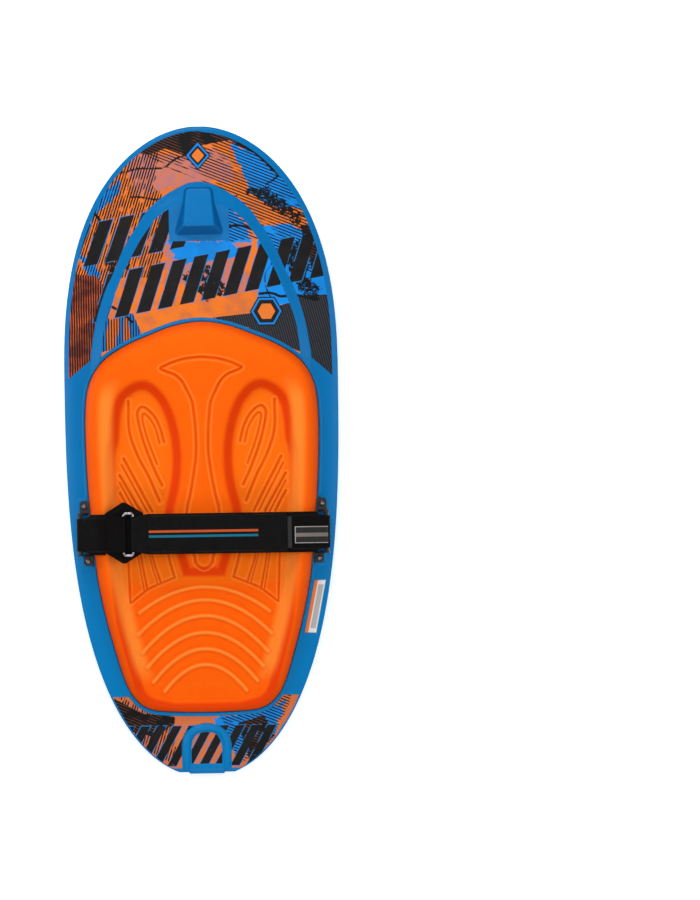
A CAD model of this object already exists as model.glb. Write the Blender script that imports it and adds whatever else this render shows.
"""A kneeboard with its knee pad, printed films and two-piece hold-down strap.

The board lies flat with its hull on z = 0: nose towards +Y, tail towards -Y, right side +X,
deck up. Sizes are in millimetres and are scaled by MM when a mesh is made; the floor, the
lights and the camera are in metres.
"""
import math
from functools import cached_property

import bmesh
import bpy
import numpy as np
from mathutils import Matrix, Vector


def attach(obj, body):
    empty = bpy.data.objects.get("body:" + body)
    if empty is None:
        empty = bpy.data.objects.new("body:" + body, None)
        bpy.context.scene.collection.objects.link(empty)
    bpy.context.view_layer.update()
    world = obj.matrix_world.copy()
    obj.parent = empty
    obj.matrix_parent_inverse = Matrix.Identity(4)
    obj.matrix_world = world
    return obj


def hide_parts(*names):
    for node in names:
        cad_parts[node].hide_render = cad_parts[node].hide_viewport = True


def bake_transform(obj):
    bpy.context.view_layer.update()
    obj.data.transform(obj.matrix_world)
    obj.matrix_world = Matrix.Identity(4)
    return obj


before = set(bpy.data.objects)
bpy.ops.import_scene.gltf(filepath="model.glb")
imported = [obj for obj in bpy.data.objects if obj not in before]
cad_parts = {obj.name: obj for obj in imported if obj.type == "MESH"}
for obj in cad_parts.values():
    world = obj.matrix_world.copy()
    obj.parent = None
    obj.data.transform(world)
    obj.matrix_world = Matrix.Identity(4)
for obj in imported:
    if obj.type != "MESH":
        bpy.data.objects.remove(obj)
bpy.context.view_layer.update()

MM = 0.001

# ---------------------------------------------------------------- driving sizes
HALF_LENGTH, HALF_WIDTH = 615.0, 260.25
NOSE_Y, TAIL_Y = HALF_LENGTH, -612.0
WIDEST_Y = 141.3
NOSE_SPAN = HALF_LENGTH + 0.5 - WIDEST_Y        # widest station to where the nose closes
TAIL_SPAN = HALF_LENGTH + 6.77 + WIDEST_Y       # and to where the tail closes
END_ROUND = 12.0                                # length over which nose and tail thin out

STRAP_Y = -158.5
WEB = 2.0                                       # webbing thickness
WEB_WIDTH = 70
BAR_X, BAR_Z, BAR_RADIUS = 234.0, 63.0, 4.8     # bracket bars, mirrored left and right
RING_Z, ROD_RADIUS = 100.0, 2.8                 # buckle ring, made of round rod
RING_LEFT_X, RING_RIGHT_X = -152.0, -134.0
SHOULDER_X = 196.0                              # where the strap bends down to its bar
WEB_Z = RING_Z - ROD_RADIUS - WEB / 2           # middle of the webbing under the ring
BAR_WRAP = BAR_RADIUS + WEB / 2
ROD_WRAP = ROD_RADIUS + WEB / 2
WRAP_TURN = 238                                 # degrees of webbing round a bar

# Raised pads under the brackets: centre x, centre y, half size in x, half size in y
FEET = [(side * x, y, half_x, half_y)
        for x, y, half_x, half_y in ((226.0, -105.5, 11.0, 14.5), (219.5, -206.5, 11.0, 13.5))
        for side in (-1, 1)]
FEET_TOP = 50.5


# ---------------------------------------------------------------- plane geometry
def smooth(t):
    t = np.clip(t, 0, 1)
    return t * t * (3 - 2 * t)


def unit(vector):
    return vector / np.linalg.norm(vector)


def polyline_distance(x, y, points, closed=False):
    path = np.asarray(points, float)
    if closed:
        path = np.vstack([path, path[:1]])
    best = np.full(np.shape(x), 1e9)
    for a, b in zip(path[:-1], path[1:]):
        d = b - a
        t = np.clip(((x - a[0]) * d[0] + (y - a[1]) * d[1]) / (d @ d + 1e-12), 0, 1)
        best = np.minimum(best, np.hypot(x - a[0] - t * d[0], y - a[1] - t * d[1]))
    return best


def is_inside(x, y, points):
    """Even-odd test against a closed polygon."""
    path = np.asarray(points, float)
    inside = np.zeros(np.shape(x), bool)
    for (x1, y1), (x2, y2) in zip(path, np.roll(path, -1, 0)):
        if y1 != y2:
            inside ^= ((y1 > y) != (y2 > y)) & (x < (x2 - x1) * (y - y1) / (y2 - y1) + x1)
    return inside


def signed_distance(x, y, points):
    """Distance to a closed polygon, positive inside."""
    distance = polyline_distance(x, y, points, closed=True)
    return np.where(is_inside(x, y, points), distance, -distance)


def catmull(points, steps, closed=False):
    """Smooth curve through the points, with this many steps from each to the next."""
    p = np.asarray(points, float)
    count = len(p)
    curve = []
    for i in range(count if closed else count - 1):
        p0 = p[i - 1] if closed or i > 0 else 2 * p[0] - p[1]
        p1, p2 = p[i], p[(i + 1) % count]
        p3 = p[(i + 2) % count] if closed or i + 2 < count else 2 * p[-1] - p[-2]
        for k in range(steps):
            t = k / steps
            curve.append(0.5 * (2 * p1 + (-p0 + p2) * t + (2 * p0 - 5 * p1 + 4 * p2 - p3) * t * t
                                + (-p0 + 3 * p1 - 3 * p2 + p3) * t ** 3))
    if not closed:
        curve.append(p[-1])
    return np.array(curve)


def mirrored(half):
    """A half outline that ends on the centre line, continued down the other side."""
    return half + [(-x, y) for x, y in half[-2::-1]]


def offset_loop(loop, gap):
    """A closed loop moved to the left of its direction: outwards for a clockwise one."""
    along = np.roll(loop, -1, 0) - np.roll(loop, 1, 0)
    along /= np.hypot(along[:, 0], along[:, 1])[:, None]
    return loop + np.stack([-along[:, 1], along[:, 0]], 1) * gap


def arc_length(path):
    return np.concatenate([[0], np.cumsum(np.hypot(*np.diff(path, axis=0).T))])


def resample(path, count, closed=True):
    if closed:
        path = np.vstack([path, path[:1]])
    length = arc_length(path)
    at = np.linspace(0, length[-1], count, endpoint=not closed)
    return np.stack([np.interp(at, length, path[:, 0]), np.interp(at, length, path[:, 1])], 1)


def dense(path, step):
    """An open path resampled to a spacing close to step."""
    return resample(path, max(2, int(arc_length(path)[-1] / step)) + 1, closed=False)


def round_corner(start, corner, end, steps):
    t = np.linspace(0, 1, steps + 1)[:, None]
    return (1 - t) ** 2 * start + 2 * t * (1 - t) * corner + t * t * end


# ---------------------------------------------------------------- outlines
# Arch step on the fore deck, right half as (x, y), from its rear end to the centre line
ARCH_OUTER = catmull(mirrored([
    (211, 120), (208, 178), (199, 233), (190, 268), (177, 306), (162, 337), (146, 375),
    (132, 402), (115, 428), (97, 454), (77, 473), (57, 487), (37, 498), (18, 505), (0, 508.5),
]), 4)
ARCH_INNER = catmull(mirrored([
    (206, 120), (191, 178), (183.5, 233), (174, 268), (162, 299), (148, 333), (131, 368),
    (112, 402), (90, 433), (76, 448), (60, 459), (44, 466), (25, 470), (0, 471),
]), 4)
# Top of the step, closed off behind its rear ends
ARCH_TOP = np.vstack([ARCH_INNER, [[-206, 60], [206, 60]]])

# Knee pad outline, right half as (x, y) from front to rear; the full loop runs clockwise
PAD_HALF = [
    (0, 244), (50, 237), (97, 220), (142, 201), (180, 177), (201, 153), (213, 128), (219, 100),
    (221.5, 60), (221, 0), (217.5, -75), (214, -118), (207, -200), (200, -253), (188, -313),
    (171, -378), (151, -441), (131, -474), (102, -492), (52, -497), (0, -498),
]
PAD_OUTLINE = catmull(mirrored(PAD_HALF)[:-1], 10, closed=True)

# Hull grooves as (|x|, y), running from front to rear
HULL_GROOVES = [
    [(126, 561), (137, 530), (148, 492), (158, 450), (166, 405), (174, 350), (180, 290),
     (183, 240), (184, 185)],
    [(170, 503), (180, 474), (192, 436), (202, 380), (210, 320), (214, 260), (215, 205),
     (214, 140)],
    [(201, -223), (195, -294), (182, -357), (167, -423), (151, -500)],
    [(163, -298), (155, -344), (142, -407), (126, -469), (106, -553)],
]


# ---------------------------------------------------------------- board surfaces
def half_width(y):
    y = np.asarray(y, float)
    to_nose = np.clip((y - WIDEST_Y) / NOSE_SPAN, 0, 1)
    to_tail = np.clip((WIDEST_Y - y) / TAIL_SPAN, 0, 1)
    return np.where(y >= WIDEST_Y, HALF_WIDTH * (1 - to_nose ** 2.506) ** (1 / 1.934),
                    HALF_WIDTH * (1 - to_tail ** 2.791) ** (1 / 2.0916))


def hull_depth(y):
    """From the rail down to the keel."""
    return 7 + 33.5 * (1 - (np.abs(y) / HALF_LENGTH) ** 2.4)


def rail_height(y):
    keel = -2.5 + np.where(y > 0, 59.5, 40.5) * (np.abs(y) / HALF_LENGTH) ** 2.6
    return keel + hull_depth(y)


def end_rounding(y):
    """1 along the board, falling in a quarter round at the nose and the tail."""
    past_end = np.where(y > 0, y - NOSE_Y, TAIL_Y - y)
    t = np.clip((past_end + END_ROUND) / (END_ROUND + 0.45), 0, 1)
    return np.sqrt(1 - t * t)


def plain_deck(x, y):
    across = np.clip(np.abs(x) / half_width(y), 0, 1)
    rise = 7 + 13 * (1 - (np.abs(y) / HALF_LENGTH) ** 3.0)
    return rail_height(y) + rise * end_rounding(y) * np.sqrt(1 - across ** 3.2)


def plain_hull(x, y):
    across = np.clip(np.abs(x) / half_width(y), 0, 1)
    drop = hull_depth(y) * end_rounding(y) * np.sqrt(1 - across ** 2.4)
    return np.maximum(0.0, rail_height(y) - drop)


def arch_step(x, y):
    """Height added by the step on the fore deck."""
    outer = polyline_distance(x, y, ARCH_OUTER)
    inner = polyline_distance(x, y, ARCH_INNER)
    slope = np.where(is_inside(x, y, ARCH_OUTER), outer / (outer + inner + 1e-9), 0.0)
    t = np.where(is_inside(x, y, ARCH_TOP), 1.0, slope)
    return 8.0 * smooth((y - 112) / 80.0) * (t - 0.04 * np.sin(2 * np.pi * t))


def foot_gap(x, y, foot):
    """How far a place is outside a rectangular foot."""
    center_x, center_y, half_x, half_y = foot
    return np.maximum(np.abs(x - center_x) - half_x, np.abs(y - center_y) - half_y)


def deck_height(x, y):
    z = plain_deck(x, y)
    near_arch = (y > 100) & (y < 520) & (np.abs(x) < 215)
    if near_arch.any():
        z[near_arch] += arch_step(x[near_arch], y[near_arch])
    for foot in FEET:
        z = z + smooth(1 - foot_gap(x, y, foot) / 2.5) * np.maximum(0, FEET_TOP - z)
    return z


def hull_height(x, y):
    z = plain_hull(x, y)
    side = np.abs(x)
    for groove in HULL_GROOVES:
        front, rear = groove[0][1], groove[-1][1]
        rear_fade = 45.0 if rear > 0 else 25.0
        fade = smooth((y - rear) / rear_fade) * smooth((front - y) / 45.0)
        gap = polyline_distance(side, y, catmull(groove, 5))
        z = z + 2.8 * smooth(1 - gap / 6.2) * fade
    # Two long bowed runners either side of the centre line
    bow = np.clip(1 - ((y + 44.5) / 196.5) ** 2, 0, 1)
    runner = smooth((9.5 * bow - np.abs(side - (73 + 16 * bow))) / 4.0 + 0.15) * 4.2 * bow
    z = np.where((runner > 0.02) & (z > 0.6), np.maximum(z - runner, 0.0), z)
    return finger_grip(z, x, y)


def finger_grip(z, x, y):
    """Ribbed hollow with a raised border, under the tail."""
    side = np.abs(x)
    arch_y = -556

    def arch_half(half, rise):
        curve = np.sqrt(np.clip(1 - ((y - arch_y) / rise) ** 2, 0, 1))
        return np.where(y < arch_y, half, half * curve)

    hollow = smooth((arch_half(33.0, rise=17.0) - side) / 2.5) * (y < -539)
    ribs = np.zeros_like(z)
    for rib_y in (-556, -568, -581, -594):
        bend = 1.2 * np.cos(x / 7.0)
        ribs = ribs + 2.2 * smooth(1 - np.abs(y - rib_y + bend) / 3.2) * (side < 23)
    z = z + hollow * (2.6 - ribs)
    border = smooth(1 - np.abs(arch_half(41.0, rise=22.0) - side) / 3.0)
    return z - 0.9 * border * (y < -536) * (y > -606)


# ---------------------------------------------------------------- mesh helpers
def mesh_object(name, verts, faces, material, body=None, attrs=None, slot=None, replaces=()):
    """Mesh from millimetre points, shaded smooth, with its float attributes and its part."""
    mesh = bpy.data.meshes.new(name)
    mesh.from_pydata((np.asarray(verts, float) * MM).tolist(), [], faces)
    for key, values in (attrs or {}).items():
        attribute = mesh.attributes.new(key, "FLOAT", "POINT")
        attribute.data.foreach_set("value", np.asarray(values, np.float32).ravel())
    return place_mesh(mesh, material, body, replaces)


def place_mesh(mesh, material, body, replaces=()):
    mesh.polygons.foreach_set("use_smooth", [True] * len(mesh.polygons))
    mesh.update()
    obj = bpy.data.objects.new(mesh.name, mesh)
    bpy.context.scene.collection.objects.link(obj)
    mesh.materials.append(material)
    if body:
        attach(obj, body)
    if replaces:
        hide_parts(*replaces)
    return obj


def grid_faces(rows, columns, wrap=False, flip=False):
    """Quads over a row-by-row grid of points; wrap joins the last column to the first."""
    row = np.arange(rows - 1)[:, None]
    column = np.arange(columns if wrap else columns - 1)[None, :]
    following = (column + 1) % columns
    corners = [row * columns + column, row * columns + following,
               (row + 1) * columns + following, (row + 1) * columns + column]
    faces = np.stack(corners, -1).reshape(-1, 4)
    return (faces[:, ::-1] if flip else faces).tolist()


def clean_mesh(obj, merge=None, recalc=True):
    """Merge points closer than merge metres, then turn the faces outwards, or else up."""
    bm = bmesh.new()
    bm.from_mesh(obj.data)
    if merge:
        bmesh.ops.remove_doubles(bm, verts=bm.verts, dist=merge)
    if recalc:
        bmesh.ops.recalc_face_normals(bm, faces=bm.faces)
    elif sum(face.normal.z * face.calc_area() for face in bm.faces) < 0:
        bmesh.ops.reverse_faces(bm, faces=bm.faces)
    bm.to_mesh(obj.data)
    bm.free()


def capped_rings(name, rings, material, body, **options):
    """Closed skin over rings of points, with a flat face on the first and last ring."""
    rows, columns = rings.shape[:2]
    faces = grid_faces(rows, columns, wrap=True)
    faces.append(list(range(columns)))
    faces.append([(rows - 1) * columns + j for j in range(columns)][::-1])
    obj = mesh_object(name, rings.reshape(-1, 3), faces, material, body, **options)
    clean_mesh(obj)
    return obj


# ---------------------------------------------------------------- shader helpers
def feed(tree, node, inputs):
    """Link each Value to its input; set any other input to the number or colour given."""
    for key, value in inputs.items():
        if isinstance(value, Value):
            tree.links.new(value.socket, node.inputs[key])
        else:
            node.inputs[key].default_value = value


def add_node(tree, kind, inputs=None, output=0, **settings):
    node = tree.nodes.new(kind)
    for key, value in settings.items():
        setattr(node, key, value)
    feed(tree, node, inputs or {})
    return Value(tree, node.outputs[output])


class Value:
    """An output socket; arithmetic on it adds Math nodes."""

    def __init__(self, tree, socket):
        self.tree = tree
        self.socket = socket

    def math(self, operation, *operands):
        inputs = dict(enumerate(operands))
        return add_node(self.tree, "ShaderNodeMath", inputs, operation=operation)

    def __add__(self, other): return self.math("ADD", self, other)
    def __sub__(self, other): return self.math("SUBTRACT", self, other)
    def __mul__(self, other): return self.math("MULTIPLY", self, other)
    def __truediv__(self, other): return self.math("DIVIDE", self, other)
    def sin(self): return self.math("SINE", self)
    def abs(self): return self.math("ABSOLUTE", self)
    def floor(self): return self.math("FLOOR", self)
    def fract(self): return self.math("FRACT", self)
    def max(self, other): return self.math("MAXIMUM", self, other)
    def below(self, limit): return self.math("LESS_THAN", self, limit)
    def inv(self): return self.math("SUBTRACT", 1.0, self)

    def step(self, zero, one):
        """Smooth step from 0 at `zero` to 1 at `one`."""
        return add_node(self.tree, "ShaderNodeMapRange", {0: self, 1: zero, 2: one},
                        interpolation_type="SMOOTHSTEP")

    def positive(self, soft):
        return self.step(zero=-soft, one=soft)

    def negative(self, soft):
        return self.step(zero=soft, one=-soft)

    def spread(self, low, high):
        """The usual noise range, 0.3 to 0.7, mapped evenly to low..high."""
        return add_node(self.tree, "ShaderNodeMapRange",
                        {0: self, 1: 0.3, 2: 0.7, 3: low, 4: high})


class Material:
    """Node material whose positions are in millimetres in the object's own space."""

    def __init__(self, name):
        self.material = bpy.data.materials.new(name)
        self.material.use_nodes = True
        self.tree = self.material.node_tree
        self.shader = self.tree.nodes["Principled BSDF"]

    @cached_property
    def position(self):
        place = self.node("ShaderNodeTexCoord", output="Object")
        return self.node("ShaderNodeVectorMath", {0: place, 3: 1000.0}, operation="SCALE")

    @cached_property
    def axes(self):
        split = self.node("ShaderNodeSeparateXYZ", {0: self.position}).socket.node
        return [Value(self.tree, socket) for socket in split.outputs]

    x = property(lambda self: self.axes[0])
    y = property(lambda self: self.axes[1])
    z = property(lambda self: self.axes[2])

    def node(self, kind, inputs=None, output=0, **settings):
        return add_node(self.tree, kind, inputs, output, **settings)

    def combine(self, x, y, z=0.0):
        return self.node("ShaderNodeCombineXYZ", {0: x, 1: y, 2: z})

    def noise(self, size, detail=3, rough=0.55, at=None):
        return self.node("ShaderNodeTexNoise", {
            "Vector": at or self.position, "Scale": 1.0 / size,
            "Detail": detail, "Roughness": rough})

    def wobble(self, amount, **noise):
        """Noise centred on zero, to make an edge ragged."""
        return (self.noise(**noise) - 0.5) * amount

    def attr(self, name):
        return self.node("ShaderNodeAttribute", output="Fac", attribute_name=name)

    def facing_up(self):
        """The z of the surface normal."""
        normal = self.node("ShaderNodeNewGeometry", output="Normal")
        return self.node("ShaderNodeSeparateXYZ", {0: normal}, output=2)

    def mix(self, mask, under, over):
        return self.node("ShaderNodeMix", {0: mask, 6: under, 7: over}, output=2,
                         data_type="RGBA")

    def finish(self, color, rough, spec=0.5, metal=0.0, bump=None, bump_mm=0.0):
        feed(self.tree, self.shader, {
            "Base Color": color, "Roughness": rough, "Metallic": metal,
            "Specular IOR Level": spec, "Coat Roughness": 0.1})
        if bump is not None:
            normal = self.node("ShaderNodeBump", {
                "Distance": bump_mm * MM, "Strength": 1.0, "Height": bump})
            feed(self.tree, self.shader, {"Normal": normal})
        return self.material


def srgb(*channels):
    """Linear colour from 0-255 sRGB."""
    parts = [c / 255.0 for c in channels]
    return tuple(c / 12.92 if c <= 0.04045 else ((c + 0.055) / 1.055) ** 2.4
                 for c in parts) + (1.0,)


def hatch(across, spacing, width):
    """1 on the lines of a hatch; across is measured at right angles to the lines."""
    distance = ((across / spacing).fract() - 0.5).abs() * spacing
    return distance.step(zero=width * 0.5 + 0.28, one=width * 0.5 - 0.28)


def sine_wave(value, period):
    return (value * (2 * math.pi / period)).sin()


# ---------------------------------------------------------------- board materials
def shell_material():
    m = Material("shell_blue_pe")
    deck_rear, deck_front = srgb(0, 125, 191), srgb(0, 113, 180)
    hull_rear, hull_middle = srgb(0, 108, 188), srgb(0, 147, 244)
    hull_front, hull_nose = srgb(0, 130, 218), srgb(0, 200, 255)
    runner_dark, runner_light = srgb(0, 92, 178), srgb(20, 172, 255)
    wall_shade, mottle_shade = srgb(0, 78, 140), srgb(0, 90, 160)

    deck = m.mix(m.y.step(zero=-600, one=560), deck_rear, deck_front)
    hull = m.mix(m.y.step(zero=-560, one=60), hull_rear, hull_middle)
    hull = m.mix(m.y.step(zero=90, one=260), hull, hull_front)
    hull = m.mix(m.y.step(zero=430, one=600), hull, hull_nose)
    # The two hull runners, drawn as a dark and a light line
    along = (m.y + 50.0) / 200.0
    bow = (along * along).inv()
    beside = (m.x.abs() - (bow * 22.0 + 74.0)) / bow.max(0.05)
    flat = m.facing_up().step(zero=-0.6, one=-0.9) * bow.step(zero=0.0, one=0.2)
    dark_line = beside.step(zero=-2.5, one=0.0) * beside.step(zero=5.5, one=2.5)
    hull = m.mix(dark_line * flat * 0.75, hull, runner_dark)
    light_line = beside.step(zero=-11.0, one=-7.0) * beside.step(zero=-1.5, one=-4.0)
    hull = m.mix(light_line * flat * 0.4, hull, runner_light)
    color = m.mix(m.facing_up().step(zero=-0.15, one=0.05), hull, deck)
    # Darker sloping sides on the tow hook
    hook = (m.facing_up().step(zero=-0.02, one=0.08) * (m.x.abs() - 52.0).negative(soft=0.5)
            * (m.y - 398.0).positive(soft=0.5) * (m.y - 505.0).negative(soft=0.5))
    steep = m.facing_up().step(zero=0.93, one=0.62)
    color = m.mix(steep * hook * 0.75, color, wall_shade)
    mottle = m.noise(size=60, detail=2).step(zero=0.35, one=0.75)
    color = m.mix(mottle * 0.10, color, mottle_shade)
    scuff = m.noise(size=1.6, detail=4, rough=0.7, at=m.combine(m.x * 0.25, m.y, m.z))
    rough = m.noise(size=14).spread(low=0.27, high=0.38)
    rough = rough + scuff.step(zero=0.62, one=0.8) * 0.15
    peel = m.noise(size=2.2, detail=2) * 0.6 + m.noise(size=0.7, detail=2) * 0.25
    return m.finish(color, rough, spec=0.12, bump=peel, bump_mm=0.16)


def pad_material():
    m = Material("pad_orange_eva")
    light = srgb(255, 150, 58)
    color = m.mix(m.noise(size=25).step(zero=0.35, one=0.7) * 0.35,
                  srgb(255, 97, 0), srgb(250, 88, 0))
    # Tint by the shape attributes: mask, strength, colour
    layers = [
        (m.attr("hgt").inv() * (m.y + 252.0).positive(soft=14.0), 0.55, srgb(255, 122, 14)),
        (m.attr("slope").step(zero=0.0, one=0.9), 0.85, srgb(226, 52, 0)),
        (m.attr("crest"), 0.8, srgb(255, 144, 50)),
        (m.attr("rim"), 0.75, srgb(226, 70, 0)),
        (m.attr("lit"), 0.5, light),
        (m.attr("cav").step(zero=0.15, one=0.95), 0.6, srgb(216, 64, 0)),
        (m.attr("rib").step(zero=0.25, one=0.95), 0.75, light),
        (m.noise(size=0.8, detail=2, rough=0.8).step(zero=0.62, one=0.75), 0.10,
         srgb(255, 165, 80)),
    ]
    for mask, strength, tint in layers:
        color = m.mix(mask * strength, color, tint)
    cells = m.node("ShaderNodeTexVoronoi", {"Vector": m.position, "Scale": 1.0 / 1.3},
                   feature="F1")
    return m.finish(color, m.noise(size=6, detail=2).spread(low=0.56, high=0.68), spec=0.06,
                    bump=cells * 0.5 + m.noise(size=0.6) * 0.5, bump_mm=0.14)


# ---------------------------------------------------------------- printed film
INK = srgb(18, 17, 18)


def print_ground(m, coarse):
    """Orange ground with salmon and blue areas."""
    color = m.mix(m.noise(size=30, detail=4).step(zero=0.4, one=0.65),
                  srgb(240, 122, 32), srgb(212, 112, 60))
    color = m.mix((m.y + 440.0).negative(soft=0.5) * 0.75, color, srgb(206, 112, 70))
    salmon = m.mix(m.noise(size=12, detail=5, rough=0.7).step(zero=0.4, one=0.62),
                   srgb(206, 118, 92), srgb(186, 118, 120))
    blue = m.mix(m.noise(size=40, detail=2).step(zero=0.4, one=0.7),
                 srgb(6, 140, 232), srgb(10, 128, 212))
    color = m.mix((m.attr("z_sa") + coarse).positive(soft=1.5), color, salmon)
    return m.mix((m.attr("z_bl") + coarse).positive(soft=0.8), color, blue)


def print_hatching(m, color, coarse, across_fall, across_lean):
    """Left: short slanted strokes. Right: long falling strokes."""
    x, y = m.x, m.y
    at = m.combine(across_lean * 1.2, (x * 0.309 + y * 0.951) * 0.35)
    dashes = m.noise(size=9, detail=2, rough=0.5, at=at).step(zero=0.36, one=0.44)
    strokes = hatch(across_lean, spacing=5.0, width=2.7) * dashes
    color = m.mix(strokes * (m.attr("z_hl") + coarse).positive(soft=1), color, INK)
    at = m.combine(across_fall * 1.0, (x * 0.927 - y * 0.3746) * 0.3)
    dashes = m.noise(size=26, rough=0.6, at=at).step(zero=0.36, one=0.43)
    strokes = hatch(across_fall, spacing=5.4, width=2.3) * dashes
    return m.mix(strokes * (m.attr("z_hr") + coarse * 0.6).positive(soft=1), color, INK)


def print_dark_areas(m, color, fine, across_fall):
    """Black, striped and panelled areas."""
    x, y = m.x, m.y
    black_area = (m.attr("z_bk") + fine * 0.7).positive(soft=0.7)
    lines = (hatch(across_fall, spacing=5.2, width=0.9)
             * m.noise(size=30).step(zero=0.42, one=0.55) * m.attr("z_pn").below(0.0))
    color = m.mix(black_area, color, m.mix(lines * 0.6, INK, srgb(150, 84, 60)))
    # Brown stripes at the rear left of the nose film
    area = (m.attr("z_br") + fine * 0.5).positive(soft=0.7)
    stripes = hatch(x + m.wobble(2.0, size=20, detail=2), spacing=4.6, width=1.7)
    brown = m.mix(m.noise(size=34).step(zero=0.35, one=0.68),
                  srgb(120, 48, 34), srgb(216, 96, 40))
    color = m.mix(area, color, m.mix(stripes, INK, brown))
    # Orange and blue stripes at the left of the fore deck
    area = (m.attr("z_vs") + fine * 0.4).positive(soft=0.7)
    along = m.noise(size=18, detail=1, rough=0.4, at=m.combine(x, y * 0.1))
    tint = m.mix(along.step(zero=0.47, one=0.53), srgb(214, 108, 44), srgb(16, 118, 196))
    color = m.mix(area, color, m.mix(hatch(x, spacing=5.2, width=2.4), tint, INK))
    # Dark panels with a close, steep hatch
    close = hatch(x * 0.966 + y * 0.2588, spacing=4.3, width=1.1)
    panel = m.mix(close * 0.75, srgb(33, 31, 33), srgb(70, 80, 94))
    return m.mix(m.attr("z_pn").positive(soft=0.4), color, panel)


def print_marks(m, color, coarse):
    """Blotches, flecks, cracks and the rows of slanted blocks."""
    blotch = (m.attr("z_sp") + coarse * 1.3).step(zero=0, one=1.2)
    broken = m.noise(size=7, detail=5, rough=0.75).step(zero=0.40, one=0.47)
    color = m.mix(blotch * broken, color, INK)
    fleck = m.noise(size=3.0, detail=4, rough=0.75).step(zero=0.70, one=0.735)
    color = m.mix(fleck * m.attr("z_bk").below(0.0) * 0.85, color, srgb(60, 30, 24))
    crack = m.attr("crack") + m.wobble(5.0, size=6, detail=4, rough=0.7)
    color = m.mix(crack.step(zero=-0.5, one=0.6), color, INK)
    block = m.attr("bars") + m.wobble(1.0, size=2.6, rough=0.6)
    edge = (block + 1.7).step(zero=-0.5, one=0.4) * m.noise(size=22).step(zero=0.42, one=0.52)
    color = m.mix(edge * m.attr("barglow").step(zero=0, one=1) * 0.8, color,
                  srgb(40, 128, 196))
    worn = m.noise(size=11, detail=5, rough=0.75).step(zero=0.66, one=0.70)
    block_color = m.mix(m.noise(size=40).step(zero=0.4, one=0.6) * 0.6,
                        srgb(20, 19, 21), srgb(31, 28, 28))
    return m.mix(block.positive(soft=0.5) * (worn * 0.75).inv(), color, block_color)


def nested_shape(m, color, attribute, edge, layers):
    """Outlines one inside another; layers are (distance in from the edge, colour)."""
    inside = m.attr(attribute)
    shape = edge
    for inset, tint in layers:
        shape = m.mix((inside - inset).positive(soft=0.3), shape, tint)
    return m.mix(inside.positive(soft=0.4), color, shape)


def graphic_material():
    m = Material("printed_film_graphic")
    coarse = m.wobble(26.0, size=16, detail=4, rough=0.65)
    fine = m.wobble(9.0, size=5, detail=4, rough=0.7)
    across_fall = m.x * 0.3746 + m.y * 0.9272      # across lines that fall to the right
    across_lean = m.x * 0.9511 - m.y * 0.309       # across lines that lean to the right
    color = print_ground(m, coarse)
    color = print_hatching(m, color, coarse, across_fall, across_lean)
    color = print_dark_areas(m, color, fine, across_fall)
    color = print_marks(m, color, coarse)
    dark = srgb(26, 26, 30)
    color = nested_shape(m, color, "emblem", dark, [
        (2.4, srgb(10, 132, 220)), (6.0, dark), (13.0, srgb(232, 122, 46))])
    dark = srgb(24, 23, 26)
    color = nested_shape(m, color, "shield", dark, [
        (2.2, srgb(8, 132, 220)), (6.0, dark), (10.0, srgb(236, 122, 46))])
    return m.finish(color, m.noise(size=9, detail=2).spread(low=0.42, high=0.52), spec=0.14,
                    bump=m.noise(size=0.9), bump_mm=0.03)


# ---------------------------------------------------------------- cloth and labels
# Attributes "pu" and "pv" are millimetres along and across the piece.
def weave(m, rib, gain):
    along, across = m.attr("pu"), m.attr("pv")
    warp = sine_wave(across, rib) * 0.5 + 0.5
    shift = (across / rib).floor() * math.pi
    weft = (along * (2 * math.pi / (rib * 0.7)) + shift).sin() * 0.5 + 0.5
    return warp * gain + weft * gain


def webbing_material():
    m = Material("strap_webbing")
    dark, light = srgb(6, 5, 5), srgb(14, 11, 10)
    cloth = weave(m, rib=2.2, gain=0.6)
    cloud = m.noise(size=7, detail=4, rough=0.6)
    color = m.mix(cloth.step(zero=0.2, one=0.9) * 0.7, dark, light)
    color = m.mix(cloud.step(zero=0.45, one=0.75) * 0.35, color, light)
    fuzz = m.noise(size=0.5, rough=0.7)
    return m.finish(color, cloud.spread(low=0.62, high=0.82), spec=0.08,
                    bump=cloth + fuzz * 0.3, bump_mm=0.35)


def neoprene_material():
    m = Material("neoprene_jersey")
    knit = sine_wave(m.attr("pu"), 1.5) * sine_wave(m.attr("pv"), 1.1)
    cloud = m.noise(size=18, detail=4, rough=0.6)
    color = m.mix(cloud.step(zero=0.4, one=0.8) * 0.5, srgb(6, 5, 4), srgb(12, 9, 8))
    color = m.mix(knit.step(zero=0.2, one=0.9) * 0.25, color, srgb(16, 12, 10))
    bump = knit * 0.3 + m.noise(size=9) * 1.6 + m.noise(size=0.5, detail=2) * 0.2
    return m.finish(color, cloud.spread(low=0.6, high=0.8), spec=0.1, bump=bump, bump_mm=0.25)


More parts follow.
